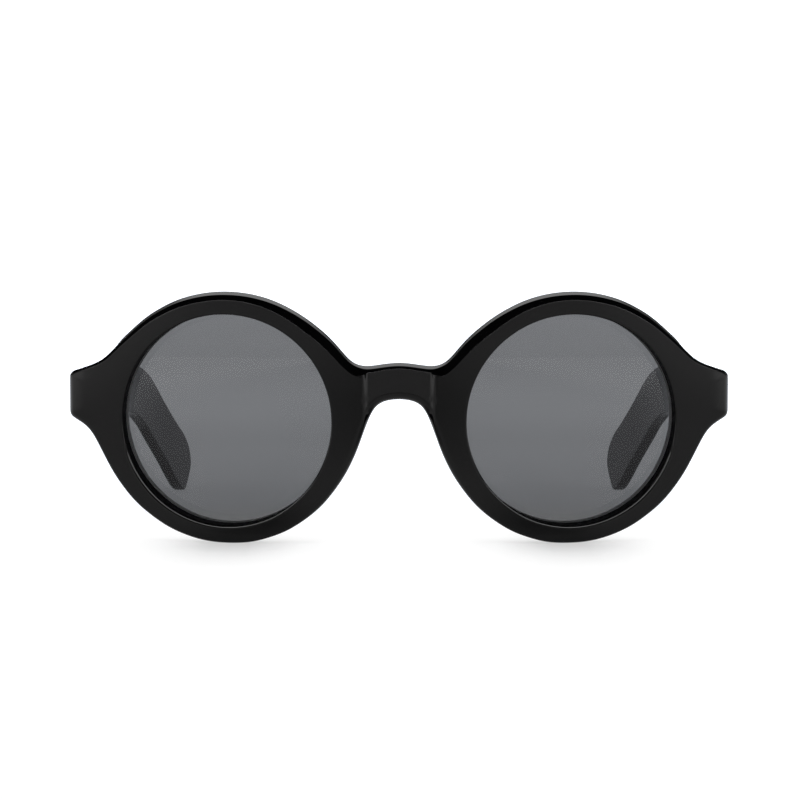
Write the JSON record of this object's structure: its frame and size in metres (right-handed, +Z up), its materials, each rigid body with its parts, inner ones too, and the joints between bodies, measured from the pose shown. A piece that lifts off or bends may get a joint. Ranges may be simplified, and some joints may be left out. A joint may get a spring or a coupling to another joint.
{
  "type": "round sunglasses",
  "caption": "Round full-rim sunglasses in thick glossy acetate, with tinted lenses, a saddle bridge and temples that fold on barrel hinges.",
  "frame": {"origin": "centre of the bounding box in plan, on the surface that the rims and temple tips stand on", "axes": "+Z up, the lenses face -Y, the temples run to +Y, +X towards the wearer's left"},
  "size_m": [0.1376, 0.1534, 0.0522],
  "materials": {
    "acetate_black": "polished black cellulose acetate",
    "acetate_pad": "tumbled black cellulose acetate",
    "lens_grey": "solid neutral grey tint, polished",
    "hinge_steel": "fine brushed nickel-plated steel",
    "screw_steel": "bright turned stainless steel",
    "core_wire": "drawn nickel silver"
  },
  "bodies": {
    "front_assembly": {"front": "acetate_black", "lens_right": "lens_grey", "lens_left": "lens_grey", "nose_pad_right": "acetate_pad", "nose_pad_left": "acetate_pad", "front_leaf_right": "hinge_steel", "front_leaf_left": "hinge_steel", "front_leaf_screws_right": "screw_steel", "front_leaf_screws_left": "screw_steel", "hinge_screw_right": "screw_steel", "hinge_screw_left": "screw_steel"},
    "temple_assembly_right": {"temple_right": "acetate_black", "core_wire_right": "core_wire", "temple_leaf_right": "hinge_steel", "temple_leaf_screws_right": "screw_steel"},
    "temple_assembly_left": {"temple_left": "acetate_black", "core_wire_left": "core_wire", "temple_leaf_left": "hinge_steel", "temple_leaf_screws_left": "screw_steel"}
  },
  "joints": [
    {"name": "fold_right", "type": "hinge", "parent": "front_assembly", "child": "temple_assembly_right", "pos_m": [-0.062, -0.05624, 0.031], "axis": [0, 0, -1], "range_deg": [0, 85]},
    {"name": "fold_left", "type": "hinge", "parent": "front_assembly", "child": "temple_assembly_left", "pos_m": [0.062, -0.05624, 0.031], "axis": [0, 0, 1], "range_deg": [0, 72]}
  ]
}
